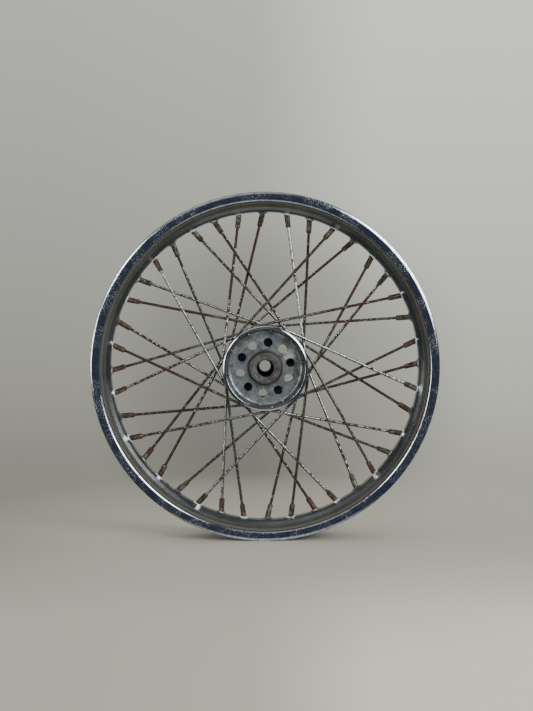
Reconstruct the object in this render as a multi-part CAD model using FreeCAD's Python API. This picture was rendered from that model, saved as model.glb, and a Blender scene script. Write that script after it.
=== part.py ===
import FreeCAD, Part
import math
import os

# Laced motorcycle front wheel without its tyre and axle: a steel drop-centre rim, forty spokes
# with nipples, and a one-piece hub with a bell-shaped flange at each side.
# Millimetres. The wheel turns about the Y axis, its middle is the origin, and its front face,
# the one with ten holes, looks along -Y. Angles are counted in the XZ plane from +X towards +Z.

FRONT = -1
BACK = 1

# --- rim: 21 inch drop-centre steel rim -------------------------------------------------------
RIM_LIP_R = 281.5            # outermost radius, over the rolled edge
BEAD_SEAT_R = 267.45         # where the tyre's bead sits
RIM_WALL = 2.0               # sheet thickness
BEAD_SEAT_OUT = 28.0         # half distance between the two flanges
BEAD_SEAT_IN = 20.5          # where the well begins
WELL_HALF = 9.0              # half width of the well's floor
WELL_TOP = 15.2              # where the well's slope turns towards the bead seat
WELL_RISE = 8.0              # height of that slope
WELL_FLOOR_R = 254.2         # tyre side of the well
FLANGE_R = 16.0              # radius of the flange's round outer side
FLANGE_MID_R = 274.1         # middle of that curve, from the axis
FLANGE_MID_Y = 17.0          # middle of that curve, from the mid plane
FLANGE_EDGE = 31.2           # where the outer side turns over at both edges
FLANGE_STEPS = 6
VALVE_HOLE_R = 4.3
VALVE_ANGLE = 50.5 + 180.0

# --- spoke pattern ----------------------------------------------------------------------------
SPOKES_PER_ROW = 10
ROW_PITCH = 360.0 / SPOKES_PER_ROW
SPOKE_R = 2.25
SPOKE_BEND_R = 2.6           # centre-line radius of the elbow
SPOKE_HEAD_R = 3.7
SPOKE_HEAD_T = 1.8
SPOKE_HEAD_GAP = 0.05        # gap left under the head
HUB_HOLE_R = 2.4
NIPPLE_SEAT_R = WELL_FLOOR_R + 0.4   # underside of a nipple's head

# Each row: side, elbow radius, distance from the mid plane at the hub, angle of its first hub
# hole, turn from hub hole to rim hole, distance from the mid plane at the rim.
SPOKE_ROWS = {
    "front_outer": (FRONT, 69.2, 38.0, 27.0, -71.5, 5.0),
    "front_inner": (FRONT, 66.2, 31.5, 9.0, 73.2, 2.0),
    "back_outer": (BACK, 64.4, 38.0, 18.0, -71.3, 5.0),
    "back_inner": (BACK, 63.0, 31.5, 0.0, 73.5, 2.0),
}

# --- nipples ----------------------------------------------------------------------------------
NIPPLE_BORE_R = SPOKE_R + 0.05
NIPPLE_HEAD_R = 5.7
NIPPLE_HEAD_T = 2.6
NIPPLE_NECK_R = 4.4
NIPPLE_FLATS = 7.8           # across the four spanner flats
NIPPLE_LENGTH = 26.0         # from the underside of the head to the open end
NIPPLE_FLAT_LENGTH = 10.0    # stretch with flats, up from the open end
NIPPLE_TIP = 1.3             # chamfer at the open end
NIPPLE_HOLE_R = NIPPLE_NECK_R + 0.2

# --- dimples in the rim's well -----------------------------------------------------------------
DIMPLE_BASE_R = 8.0
DIMPLE_TOP_R = 5.9
DIMPLE_HEIGHT = 3.2          # how far a dimple stands out towards the hub

# --- hub ---------------------------------------------------------------------------------------
PLATE_FRONT = 28.0           # outer face of each flange plate, from the mid plane
PLATE_T = 4.0
BELL_WALL = 3.2
BELL_DEPTH = 45.3            # front of the turned-over lip, from the mid plane
BELL_LIP_OUT = 0.2           # how far the lip stands out over the bell's outer wall
BELL_LIP_IN = 5.2            # how far it reaches in from that wall
ELBOW_GAP = 2.5              # elbow centre line to the bell's outer wall
BARREL_R = 28.0
BOSS_FACE = 38.4             # front boss face, from the mid plane
BOSS_FACE_BACK = BELL_DEPTH  # back boss face, level with the bell's lip
BOSS_FACE_R = 23.8
BOSS_SIDE_R = 24.6
BOSS_FOOT_R = 27.6           # where the fillet round a boss meets its plate
BOLT_CIRCLE_R = 41.275       # 3 1/4 inch circle
BOLT_HOLE_R = 7.0
BOLT_HOLES = 10
BOLT_ANGLE = 11.9
WINDOW_R = 9.6               # holes in the back plate, behind every second front hole
HUB_BORE_R = 19.6            # tube between the bearings

# --- bearings: 3/4 inch tapered rollers ----------------------------------------------------------
CUP_R = 22.62                # outer radius of the outer ring
CUP_W = 12.07
CUP_SINK = 2.3               # from the seal's back edge to the outer ring
CONE_BORE_R = 9.525
CONE_W = 16.6
ROLLER_TILT = 10.0           # roller axis against the wheel's axis, degrees
ROLLER_PITCH_R = 16.6        # wheel axis to the middle of a roller
ROLLER_R = 2.55
ROLLER_L = 10.0
ROLLER_FIT = 0.06            # running clearance at each race
RIB_GAP = 0.35               # roller end to rib
ROLLERS = 15
CAGE_T = 1.0
CAGE_GAP = 0.4               # roller to pocket

# --- seals ----------------------------------------------------------------------------------------
SEAL_R = 22.8
SEAL_W = 5.6
SEAL_RECESS = 0.5
SEAL_SHEET = 1.0
SEAL_STEP_R = 19.5           # the case's front is pressed in from here inwards
SEAL_STEP = 0.5
SEAL_WINDOW_R = 14.0         # inner edge of the steel case
SEAL_BOND_R = 20.2           # outer edge of the rubber behind the case's front
SEAL_LIP_R = 13.4            # inner edge of the rubber lip
SPRING_R = 0.55              # wire coil section of the garter spring
SPRING_PITCH_R = 15.6


def V(x, y, z):
    return FreeCAD.Vector(x, y, z)


AXIS = V(0, 1, 0)
ORIGIN = V(0, 0, 0)


def polar(radius, angle, y):
    """Point at an angle in the wheel's plane, at a distance y along the axis."""
    a = math.radians(angle)
    return V(radius * math.cos(a), y, radius * math.sin(a))


def ring(profile):
    """Solid of revolution about the wheel's axis from (radius, y) points."""
    points = [V(r, y, 0) for r, y in profile]
    face = Part.Face(Part.makePolygon(points + points[:1]))
    return upright(face.revolve(ORIGIN, AXIS, 360))


def upright(shape):
    """The shape as a solid with outward faces."""
    solid = Part.Solid(shape.Shells[0]) if not shape.Solids else shape.Solids[0]
    if solid.Volume < 0:
        solid.reverse()
    return solid


def frame_at(point, direction):
    """Placement that takes +Z to the direction and the origin to the point."""
    return FreeCAD.Placement(point, FreeCAD.Rotation(V(0, 0, 1), direction))


def rod(start, end, radius):
    """Round bar between two points."""
    along = end.sub(start)
    return Part.makeCylinder(radius, along.Length, start, along)


def save(name, shape):
    solids = shape.Solids
    if not shape.isValid() or not solids:
        print("PROBLEM", name, shape.isValid(), len(solids))
    shape.exportStep("parts/" + name + ".step")
    print(name, len(solids), round(sum(s.Volume for s in solids)))


# --- spoke lines -----------------------------------------------------------------------------------

def spoke_ends(row, index):
    """Elbow corner and nipple seat of one spoke, as points on its centre line."""
    side, elbow_r, hub_e, first, turn, rim_e = SPOKE_ROWS[row]
    angle = first + ROW_PITCH * index
    corner = polar(elbow_r, angle, side * hub_e)
    seat = polar(NIPPLE_SEAT_R, angle + turn, side * rim_e)
    return corner, seat


def spoke_axis(row, index):
    corner, seat = spoke_ends(row, index)
    return seat.sub(corner).normalize()


def bell_inner_r(row):
    """Radius of the bell's inner wall where a row of spokes goes through it."""
    return SPOKE_ROWS[row][1] - ELBOW_GAP - BELL_WALL


def make_spoke(row, index):
    """Headed spoke: button head in the bell, shank through its wall, elbow and long leg."""
    side, elbow_r, hub_e, first, turn, rim_e = SPOKE_ROWS[row]
    corner, seat = spoke_ends(row, index)
    leg = seat.sub(corner).normalize()
    outward = polar(1.0, first + ROW_PITCH * index, 0)
    bend = math.acos(outward.dot(leg))
    setback = SPOKE_BEND_R * math.tan(bend / 2)
    shank_start = polar(bell_inner_r(row) - SPOKE_HEAD_GAP, first + ROW_PITCH * index, side * hub_e)
    bend_start = corner.sub(V(*outward) * setback)
    bend_end = corner.add(leg * setback)
    inward = leg.sub(outward).normalize()
    centre = corner.add(inward * (SPOKE_BEND_R / math.cos(bend / 2)))
    middle = centre.sub(inward * SPOKE_BEND_R)
    leg_end = seat.add(leg * (NIPPLE_HEAD_T - 0.6))
    path = Part.Wire([Part.LineSegment(shank_start, bend_start).toShape(),
                      Part.Arc(bend_start, middle, bend_end).toShape(),
                      Part.LineSegment(bend_end, leg_end).toShape()])
    section = Part.Wire(Part.makeCircle(SPOKE_R, shank_start, outward))
    wire = path.makePipeShell([section], True, False)
    head = Part.makeCylinder(SPOKE_HEAD_R, SPOKE_HEAD_T)
    head = head.makeFillet(0.8, [e for e in head.Edges if e.BoundBox.ZMax < 0.01])
    head.Placement = frame_at(shank_start.sub(outward * SPOKE_HEAD_T), outward)
    return wire.fuse(head).removeSplitter()


# --- nipples -----------------------------------------------------------------------------------------

def make_nipple(row, index):
    """Nipple with a coned head, a round neck and spanner flats near its open end."""
    corner, seat = spoke_ends(row, index)
    leg = seat.sub(corner).normalize()
    neck = Part.makeCylinder(NIPPLE_NECK_R, NIPPLE_LENGTH, V(0, 0, -NIPPLE_LENGTH))
    neck = neck.makeChamfer(NIPPLE_TIP, [e for e in neck.Edges if e.BoundBox.ZMax < 0.01 - NIPPLE_LENGTH])
    half = NIPPLE_FLATS / 2
    block = Part.makeBox(NIPPLE_FLATS, NIPPLE_FLATS, NIPPLE_LENGTH, V(-half, -half, -NIPPLE_LENGTH))
    upper = Part.makeCylinder(NIPPLE_NECK_R, NIPPLE_LENGTH, V(0, 0, NIPPLE_FLAT_LENGTH - NIPPLE_LENGTH))
    neck = neck.common(block.fuse(upper))
    head = Part.makeCylinder(NIPPLE_HEAD_R, NIPPLE_HEAD_T)
    head = head.makeChamfer(0.8, [e for e in head.Edges if e.BoundBox.ZMin > NIPPLE_HEAD_T - 0.01])
    bore = Part.makeCylinder(NIPPLE_BORE_R, 60, V(0, 0, -40))
    body = neck.fuse(head).cut(bore).removeSplitter()
    body.Placement = frame_at(seat, leg)
    return body


# --- rim ----------------------------------------------------------------------------------------------

def flange_curve(radius, start, end):
    """Points of the flange's round section, angles counted from the axial direction."""
    points = []
    for i in range(FLANGE_STEPS + 1):
        a = math.radians(start + (end - start) * i / FLANGE_STEPS)
        points.append((FLANGE_MID_R + radius * math.sin(a), FLANGE_MID_Y + radius * math.cos(a)))
    return points


def rim_half_outline():
    """Hub side and tyre side of the rim's section, from the mid plane to the flange's edge."""
    well_r = WELL_FLOOR_R - RIM_WALL
    seat_r = BEAD_SEAT_R - RIM_WALL
    hub_side = [(well_r, WELL_HALF - 3.0), (well_r + 0.9, WELL_HALF - 0.4), (well_r + 3.0, WELL_HALF + 2.3),
                (well_r + WELL_RISE - 0.8, WELL_TOP - 0.6), (well_r + WELL_RISE + 0.8, WELL_TOP + 1.0),
                (seat_r - 1.4, BEAD_SEAT_IN - 1.0), (seat_r - 0.8, BEAD_SEAT_IN + 0.8),
                (seat_r, BEAD_SEAT_OUT - 0.4), (seat_r + 0.8, BEAD_SEAT_OUT + 1.8)]
    outside = [(seat_r + 1.6, FLANGE_EDGE - 0.6)] + flange_curve(FLANGE_R, -20.0, 19.0)
    edge = [(RIM_LIP_R - 0.8, FLANGE_EDGE - 0.1), (RIM_LIP_R, FLANGE_EDGE - 1.6),
            (RIM_LIP_R, BEAD_SEAT_OUT + 1.0), (RIM_LIP_R - 0.9, BEAD_SEAT_OUT + 0.2),
            (RIM_LIP_R - 1.8, BEAD_SEAT_OUT + 1.0)]
    inside = flange_curve(FLANGE_R - RIM_WALL, 16.0, -17.0)
    tyre_side = [(BEAD_SEAT_R + 0.8, BEAD_SEAT_OUT + 0.6), (BEAD_SEAT_R, BEAD_SEAT_OUT - 0.8),
                 (BEAD_SEAT_R - 0.9, BEAD_SEAT_IN - 0.8), (WELL_FLOOR_R + WELL_RISE + 0.6, WELL_TOP + 0.2),
                 (WELL_FLOOR_R + WELL_RISE - 1.2, WELL_TOP - 1.8), (WELL_FLOOR_R + 2.4, WELL_HALF + 1.2),
                 (WELL_FLOOR_R + 0.7, WELL_HALF - 1.0), (WELL_FLOOR_R, WELL_HALF - 3.2)]
    return hub_side + outside + edge + inside + tyre_side


def make_rim():
    """Drop-centre rim with a punched dimple and a hole for every nipple, and the valve hole."""
    half = rim_half_outline()
    mirrored = [(r, -y) for r, y in reversed(half)]
    rim = ring(half + mirrored)
    bumps = []
    holes = []
    for row in SPOKE_ROWS:
        for index in range(SPOKES_PER_ROW):
            corner, seat = spoke_ends(row, index)
            place = frame_at(seat, spoke_axis(row, index))
            top = -0.4 - RIM_WALL - DIMPLE_HEIGHT
            bump = Part.makeCone(DIMPLE_TOP_R, DIMPLE_BASE_R, DIMPLE_HEIGHT + 1.6, V(0, 0, top))
            bump = bump.makeFillet(1.6, [e for e in bump.Edges if e.BoundBox.ZMax < top + 0.01])
            bump.Placement = place
            bumps.append(bump)
            seat_cone = Part.makeCone(NIPPLE_NECK_R + 0.2, NIPPLE_HEAD_R + 0.3, 1.0, V(0, 0, -1.02))
            pocket = Part.makeCylinder(NIPPLE_HEAD_R + 0.3, 12.0, V(0, 0, -0.02))
            hole = Part.makeCylinder(NIPPLE_HOLE_R, 30, V(0, 0, -20)).fuse([seat_cone, pocket])
            hole.Placement = place
            holes.append(hole)
    outside = ring([(WELL_FLOOR_R - 0.5, -14.0), (WELL_FLOOR_R - 0.5, 14.0), (230.0, 14.0), (230.0, -14.0)])
    bumps = [bump.common(outside) for bump in bumps]
    rim = rim.fuse(bumps).removeSplitter()
    valve = rod(polar(200.0, VALVE_ANGLE, 0), polar(300.0, VALVE_ANGLE, 0), VALVE_HOLE_R)
    return rim.cut(holes + [valve])


# --- hub -----------------------------------------------------------------------------------------------

def bell_outline(side, face):
    """Half of the hub's section, from the mid plane out to one boss face, outside then inside."""
    outer_row = "front_outer" if side == FRONT else "back_outer"
    inner_row = "front_inner" if side == FRONT else "back_inner"
    r_out = SPOKE_ROWS[outer_row][1] - ELBOW_GAP
    r_in = SPOKE_ROWS[inner_row][1] - ELBOW_GAP
    e_out = SPOKE_ROWS[outer_row][2]
    e_in = SPOKE_ROWS[inner_row][2]
    slope = (r_out - r_in) / (e_out - e_in)
    plate_back = PLATE_FRONT - PLATE_T

    def wall(e):
        return r_in + slope * (e - e_in)

    lip_root = BELL_DEPTH - 4.8
    outside = [(BARREL_R, 0), (BARREL_R, plate_back - 3.0), (BARREL_R + 3.0, plate_back),
               (wall(plate_back) - 9.0, plate_back), (wall(plate_back) - 3.2, plate_back + 1.2),
               (wall(plate_back + 4.6) - 0.4, plate_back + 4.6), (wall(lip_root), lip_root)]
    return outside, wall, lip_root


def hub_side_profile(side, face):
    outside, wall, lip_root = bell_outline(side, face)
    rim_r = wall(BELL_DEPTH - 3.0)
    lip = [(rim_r + BELL_LIP_OUT, BELL_DEPTH - 3.6), (rim_r, BELL_DEPTH - 2.4), (rim_r - 0.8, BELL_DEPTH - 1.5),
           (rim_r - 2.4, BELL_DEPTH - 0.5), (rim_r - 3.6, BELL_DEPTH - 0.1),
           (rim_r - BELL_LIP_IN + 0.7, BELL_DEPTH), (rim_r - BELL_LIP_IN, BELL_DEPTH - 0.8),
           (rim_r - BELL_LIP_IN + 0.3, BELL_DEPTH - 1.8), (rim_r - 4.0, BELL_DEPTH - 3.2)]
    inside = [(wall(lip_root) - BELL_WALL, lip_root), (wall(PLATE_FRONT + 4.2) - BELL_WALL, PLATE_FRONT + 4.2),
              (wall(PLATE_FRONT) - BELL_WALL - 1.6, PLATE_FRONT + 1.4),
              (wall(PLATE_FRONT) - BELL_WALL - 5.0, PLATE_FRONT),
              (BOSS_FOOT_R, PLATE_FRONT), (BOSS_SIDE_R + 0.8, PLATE_FRONT + 0.8), (BOSS_SIDE_R, PLATE_FRONT + 2.6),
              (BOSS_FACE_R + 0.6, face - 0.8), (BOSS_FACE_R, face)]
    return outside + lip + inside


def make_hub():
    """One-piece hub: barrel, two flange plates, two bells with rolled lips, two bosses."""
    body = None
    for side, face in ((FRONT, BOSS_FACE), (BACK, BOSS_FACE_BACK)):
        section = [(HUB_BORE_R, 0)] + hub_side_profile(side, face) + [(HUB_BORE_R, face)]
        half = ring([(r, side * e) for r, e in section])
        body = half if body is None else body.fuse(half)
    cuts = []
    for side, face in ((FRONT, BOSS_FACE), (BACK, BOSS_FACE_BACK)):
        seal_depth = SEAL_RECESS + SEAL_W + CUP_SINK
        cup_depth = seal_depth + CUP_W
        cuts.append(ring([(0, side * (face + 1)), (SEAL_R, side * (face + 1)),
                          (SEAL_R, side * (face - seal_depth)), (CUP_R, side * (face - seal_depth)),
                          (CUP_R, side * (face - cup_depth)), (0, side * (face - cup_depth))]))
    for index in range(BOLT_HOLES):
        angle = BOLT_ANGLE + 360.0 / BOLT_HOLES * index
        cuts.append(rod(polar(BOLT_CIRCLE_R, angle, -50), polar(BOLT_CIRCLE_R, angle, 0), BOLT_HOLE_R))
        if index % 2:
            cuts.append(rod(polar(BOLT_CIRCLE_R, angle, 0), polar(BOLT_CIRCLE_R, angle, 50), WINDOW_R))
    for row, (side, elbow_r, hub_e, first, turn, rim_e) in SPOKE_ROWS.items():
        for index in range(SPOKES_PER_ROW):
            angle = first + ROW_PITCH * index
            start = polar(bell_inner_r(row) - 3.0, angle, side * hub_e)
            cuts.append(rod(start, polar(elbow_r, angle, side * hub_e), HUB_HOLE_R))
            face_r = bell_inner_r(row)
            flat = rod(polar(face_r - 4.0, angle, side * hub_e), polar(face_r, angle, side * hub_e),
                       SPOKE_HEAD_R + 0.3)
            cuts.append(flat)
    return body.cut(cuts).removeSplitter()


# --- bearings --------------------------------------------------------------------------------------------

def race_radius(depth, angle, middle_r):
    """Radius of a coned race at a depth from the roller's middle, outboard positive."""
    return middle_r - depth * math.tan(math.radians(angle))


TAPER = math.degrees(math.atan(ROLLER_R * math.sin(math.radians(ROLLER_TILT)) / ROLLER_PITCH_R))
CUP_ANGLE = ROLLER_TILT + TAPER
CONE_ANGLE = ROLLER_TILT - TAPER
RACE_OFFSET = (ROLLER_R + ROLLER_FIT) / math.cos(math.radians(ROLLER_TILT))


def bearing_middle(face):
    """Distance of the rollers' middle from the mid plane."""
    return face - SEAL_RECESS - SEAL_W - CUP_SINK - CUP_W / 2


def make_cup(side, face):
    """Outer ring of a tapered bearing, wide end of its race outboard."""
    middle = bearing_middle(face)
    outer = middle + CUP_W / 2
    inner = middle - CUP_W / 2
    base = ROLLER_PITCH_R + RACE_OFFSET
    wide = race_radius(-CUP_W / 2, CUP_ANGLE, base)
    narrow = race_radius(CUP_W / 2, CUP_ANGLE, base)
    return ring([(CUP_R, side * (inner + 0.8)), (CUP_R, side * outer), (wide, side * outer),
                 (narrow, side * inner), (CUP_R - 0.8, side * inner)])


def make_cone(side, face):
    """Inner ring: wheel bore, coned race, and a rib at each end that holds the rollers."""
    middle = bearing_middle(face)
    base = ROLLER_PITCH_R - RACE_OFFSET
    half = ROLLER_L / 2 + RIB_GAP
    rib_out = race_radius(-half, CONE_ANGLE, base) + 1.6
    rib_in = race_radius(half, CONE_ANGLE, base) + 0.7
    section = [(CONE_BORE_R, middle - CONE_W / 2), (rib_in, middle - CONE_W / 2),
               (rib_in, middle - half), (race_radius(half, CONE_ANGLE, base), middle - half),
               (race_radius(-half, CONE_ANGLE, base), middle + half), (rib_out, middle + half),
               (rib_out, middle + CONE_W / 2), (CONE_BORE_R, middle + CONE_W / 2)]
    return ring([(r, side * e) for r, e in section])


def roller_frame(side, face, index):
    angle = 360.0 / ROLLERS * index
    middle = bearing_middle(face)
    tilt = math.radians(ROLLER_TILT)
    radial = polar(1.0, angle, 0)
    axis = V(0, side * math.cos(tilt), 0).add(radial * math.sin(tilt))
    centre = polar(ROLLER_PITCH_R, angle, side * middle)
    return frame_at(centre, axis)


def make_rollers(side, face):
    """Fifteen tapered rollers, each a separate solid."""
    spread = ROLLER_L / 2 * math.tan(math.radians(TAPER))
    rollers = []
    for index in range(ROLLERS):
        roller = Part.makeCone(ROLLER_R - spread, ROLLER_R + spread, ROLLER_L, V(0, 0, -ROLLER_L / 2))
        roller = roller.makeChamfer(0.3, [e for e in roller.Edges if e.BoundBox.DiagonalLength > 5
                                          and e.BoundBox.ZLength < 0.01])
        roller.Placement = roller_frame(side, face, index)
        rollers.append(roller)
    return Part.makeCompound(rollers)


def make_cage(side, face):
    """Pressed cage: a coned sleeve with a pocket for every roller."""
    middle = bearing_middle(face)
    half = ROLLER_L / 2 + 1.2
    tilt = math.tan(math.radians(ROLLER_TILT))
    low = ROLLER_PITCH_R - half * tilt
    high = ROLLER_PITCH_R + half * tilt
    cage = ring([(low, side * (middle - half)), (low + CAGE_T, side * (middle - half)),
                 (high + CAGE_T, side * (middle + half)), (high, side * (middle + half))])
    pockets = []
    for index in range(ROLLERS):
        pocket = Part.makeCylinder(ROLLER_R + CAGE_GAP, ROLLER_L + 2 * CAGE_GAP,
                                   V(0, 0, -ROLLER_L / 2 - CAGE_GAP))
        pocket.Placement = roller_frame(side, face, index)
        pockets.append(pocket)
    return cage.cut(pockets)


# --- seals ------------------------------------------------------------------------------------------------

def make_seal_case(side, face):
    """Steel case of a shaft seal: an outer wall and a stepped front with a window."""
    front = face - SEAL_RECESS
    step = front - SEAL_STEP
    behind = step - SEAL_SHEET
    back = front - SEAL_W
    section = [(SEAL_R, front - 0.6), (SEAL_R - 0.6, front), (SEAL_STEP_R + 0.4, front), (SEAL_STEP_R, step),
               (SEAL_WINDOW_R + 0.3, step), (SEAL_WINDOW_R, step - 0.3), (SEAL_WINDOW_R, behind),
               (SEAL_R - SEAL_SHEET, behind), (SEAL_R - SEAL_SHEET, back), (SEAL_R, back)]
    return ring([(r, side * e) for r, e in section])


def make_seal_lip(side, face):
    """Rubber lip bonded behind the case's front, with a groove for the garter spring."""
    front = face - SEAL_RECESS
    behind = front - SEAL_STEP - SEAL_SHEET
    groove = SPRING_PITCH_R - SPRING_R
    section = [(SEAL_LIP_R + 0.8, behind), (SEAL_BOND_R, behind), (SEAL_BOND_R, front - 2.5),
               (SPRING_PITCH_R + SPRING_R + 0.6, front - 2.6), (groove, front - 2.8),
               (groove - 0.05, front - 4.8), (SEAL_LIP_R + 0.5, front - 4.6),
               (SEAL_LIP_R, front - 3.6), (SEAL_LIP_R + 0.6, front - 2.2)]
    return ring([(r, side * e) for r, e in section])


def make_seal_spring(side, face):
    """Garter spring that presses the lip inwards."""
    e = face - SEAL_RECESS - 3.9
    return Part.makeTorus(SPRING_PITCH_R, SPRING_R, V(0, side * e, 0), AXIS)


# --- build --------------------------------------------------------------------------------------------------

os.makedirs("parts", exist_ok=True)
save("rim", make_rim())
save("hub", make_hub())
for row_name in SPOKE_ROWS:
    for number in range(SPOKES_PER_ROW):
        save("spoke_%s_%02d" % (row_name, number + 1), make_spoke(row_name, number))
    save("nipples_" + row_name, Part.makeCompound([make_nipple(row_name, i) for i in range(SPOKES_PER_ROW)]))
for label, side_sign, boss_face in (("front", FRONT, BOSS_FACE), ("back", BACK, BOSS_FACE_BACK)):
    save(label + "_bearing_outer_ring", make_cup(side_sign, boss_face))
    save(label + "_seal_case", make_seal_case(side_sign, boss_face))
    save(label + "_seal_lip", make_seal_lip(side_sign, boss_face))
    save(label + "_seal_spring", make_seal_spring(side_sign, boss_face))
save("back_bearing_inner_ring", make_cone(BACK, BOSS_FACE_BACK))
save("back_bearing_rollers", make_rollers(BACK, BOSS_FACE_BACK))
save("back_bearing_cage", make_cage(BACK, BOSS_FACE_BACK))
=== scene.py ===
import bmesh
import bpy
import math
import random
from mathutils import Matrix, Vector


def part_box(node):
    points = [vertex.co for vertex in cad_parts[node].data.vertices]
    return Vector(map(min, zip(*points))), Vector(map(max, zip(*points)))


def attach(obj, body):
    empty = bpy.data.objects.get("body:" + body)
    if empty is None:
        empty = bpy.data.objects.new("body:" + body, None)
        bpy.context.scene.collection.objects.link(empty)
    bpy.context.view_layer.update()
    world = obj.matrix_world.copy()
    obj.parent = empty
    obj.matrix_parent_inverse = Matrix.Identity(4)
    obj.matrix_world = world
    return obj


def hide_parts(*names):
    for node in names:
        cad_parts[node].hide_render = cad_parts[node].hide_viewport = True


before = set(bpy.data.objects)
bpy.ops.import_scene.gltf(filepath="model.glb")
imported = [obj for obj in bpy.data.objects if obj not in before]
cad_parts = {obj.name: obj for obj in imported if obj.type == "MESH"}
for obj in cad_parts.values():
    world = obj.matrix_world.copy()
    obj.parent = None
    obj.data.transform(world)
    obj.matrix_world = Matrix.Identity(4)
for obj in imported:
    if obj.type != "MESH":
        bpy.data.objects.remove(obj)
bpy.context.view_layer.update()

MM = 0.001
FRONT = -1
BACK = 1

# --- sizes that the CAD parts in model.glb give --------------------------------------------------
LIP_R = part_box("rim")[1].z
FLOOR_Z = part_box("rim")[0].z
BOSS_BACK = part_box("hub")[1].y
SEAL_FRONT = -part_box("front_seal_case")[0].y
SEAL_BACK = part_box("back_seal_case")[1].y

# --- rim -----------------------------------------------------------------------------------------
SHEET = 2.0 * MM
BEAD_R = LIP_R - 14.05 * MM
BEAD_OUT = 28.0 * MM
BEAD_IN = 20.5 * MM
WELL_R = 254.2 * MM
WELL_HALF = 9.0 * MM
WELL_TOP = 15.2 * MM         # where the well's slope turns into the bead seat's
WELL_STEP = 1.5 * MM         # mesh step across the well, fine enough for the dimples
RIM_STEPS = 696              # a multiple of the 24 sectors
FLANGE_R = 16.0 * MM         # the flange's round outer side and its middle
FLANGE_MID_R = LIP_R - 7.4 * MM
FLANGE_MID_Y = 17.0 * MM
FLANGE_EDGE = 31.2 * MM      # where the outer side turns over at both edges
VALVE_R = 4.3 * MM
VALVE_ANGLE = 230.5
VALVE_DRILL = (235 * MM, 275 * MM)
DIMPLE_R = 8.6 * MM
DIMPLE_FLAT = 4.9 * MM
DIMPLE_RISE = 3.3 * MM

# --- spokes: side, elbow radius, hub distance, first hub angle, turn to the rim, rim distance ----
ROW_COUNT = 10
ROW_PITCH = 360 / ROW_COUNT
ROWS = {
    "front_outer": (FRONT, 69.2 * MM, 38.0 * MM, 27.0, -71.5, 5.0 * MM),
    "front_inner": (FRONT, 66.2 * MM, 31.5 * MM, 9.0, 73.2, 2.0 * MM),
    "back_outer": (BACK, 64.4 * MM, 38.0 * MM, 18.0, -71.3, 5.0 * MM),
    "back_inner": (BACK, 63.0 * MM, 31.5 * MM, 0.0, 73.5, 2.0 * MM),
}
WIRE_R = 2.25 * MM
ELBOW_R = 2.6 * MM
HEAD_R = 3.7 * MM
HEAD_T = 1.8 * MM
SPOKE_SIDES = 16
ELBOW_STEPS = 8
LEG_STEPS = 16
SPOKE_BOW = 0.45 * MM        # most that a used spoke bows to either side
SEAT_R = WELL_R + 0.4 * MM   # underside of a nipple's head
NIPPLE_LENGTH = 26.0 * MM
NIPPLE_NECK = 4.4 * MM
NIPPLE_HEAD = 5.7 * MM
NIPPLE_HEAD_T = 2.6 * MM
NIPPLE_FLATS = 7.8 * MM
NIPPLE_FLATS_LENGTH = 10.0 * MM
NIPPLE_BORE = WIRE_R + 0.05 * MM

# --- hub -----------------------------------------------------------------------------------------
PLATE = 28.0 * MM
PLATE_T = 4.0 * MM
BELL_WALL = 3.2 * MM
BELL_DEPTH = 45.3 * MM
ELBOW_GAP = 2.5 * MM
BARREL_R = 28.0 * MM
BOSS_R = 23.8 * MM
BOSS_SIDE_R = 24.6 * MM
HUB_BORE_R = 19.6 * MM
BOLT_CIRCLE_R = 41.275 * MM
BOLT_R = 7.0 * MM
BOLTS = 10
BOLT_ANGLE = 11.9
WINDOW_R = 9.6 * MM
HUB_HOLE_R = 2.4 * MM
HUB_STEPS = 240
SEAL_R = 22.8 * MM
SEAL_W = 5.6 * MM
SEAL_GAP = 0.5 * MM          # a seal sits this far inside its boss
SEAL_STEPS = 168
SEAL_SHEET = 1.0 * MM
SEAL_STEP = 0.5 * MM         # the case's front steps back by this much near the window
SEAL_STEP_R = 19.5 * MM
SEAL_WINDOW_R = 14.0 * MM
SEAL_LIP_R = 13.4 * MM
SEAL_BOND_R = 20.2 * MM
SEAL_WAIST_R = 15.0 * MM
BOSS_FRONT = SEAL_FRONT + SEAL_GAP
CUP_SINK = 2.3 * MM          # from a seal's back edge to the outer ring
CUP_R = 22.62 * MM
CUP_W = 12.07 * MM


def polar(radius, angle, y=0.0):
    """Point at a distance from the wheel's axis, its angle counted from the X axis towards Z."""
    turn = math.radians(angle)
    return Vector((radius * math.cos(turn), y, radius * math.sin(turn)))


# --- mesh helpers --------------------------------------------------------------------------------

def rounded(corners, steps=5, full=0.0):
    """Outline from (r, y, corner radius): each corner becomes an arc tangent to its two sides.

    Corners whose radius is under the full one get fewer steps.
    """
    points = []
    count = len(corners)
    for index, (r, y, radius) in enumerate(corners):
        here = Vector((r, y))
        before = Vector(corners[index - 1][:2])
        after = Vector(corners[(index + 1) % count][:2])
        if radius <= 0:
            points.append(here)
            continue
        back = (before - here).normalized()
        ahead = (after - here).normalized()
        half = back.angle(ahead) / 2
        if half > math.radians(89):
            points.append(here)
            continue
        reach = min(radius / math.tan(half), 0.49 * (before - here).length, 0.49 * (after - here).length)
        radius = reach * math.tan(half)
        centre = here + (back + ahead).normalized() * (radius / math.sin(half))
        first = here + back * reach - centre
        last = here + ahead * reach - centre
        turn = first.angle_signed(last)
        parts = steps if radius >= full else math.ceil(steps * radius / full)
        for step in range(parts + 1):
            points.append(centre + Matrix.Rotation(-turn * step / parts, 2) @ first)
    return points


def finer(points, step, below, width):
    """Outline with its long sides divided where they lie nearer the axis and the middle than given."""
    dense = []
    for index, point in enumerate(points):
        after = points[(index + 1) % len(points)]
        dense.append(point)
        if max(point.x, after.x) > below or max(abs(point.y), abs(after.y)) > width:
            continue
        parts = math.ceil((after - point).length / step)
        dense += [point.lerp(after, part / parts) for part in range(1, parts)]
    return dense


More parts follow.
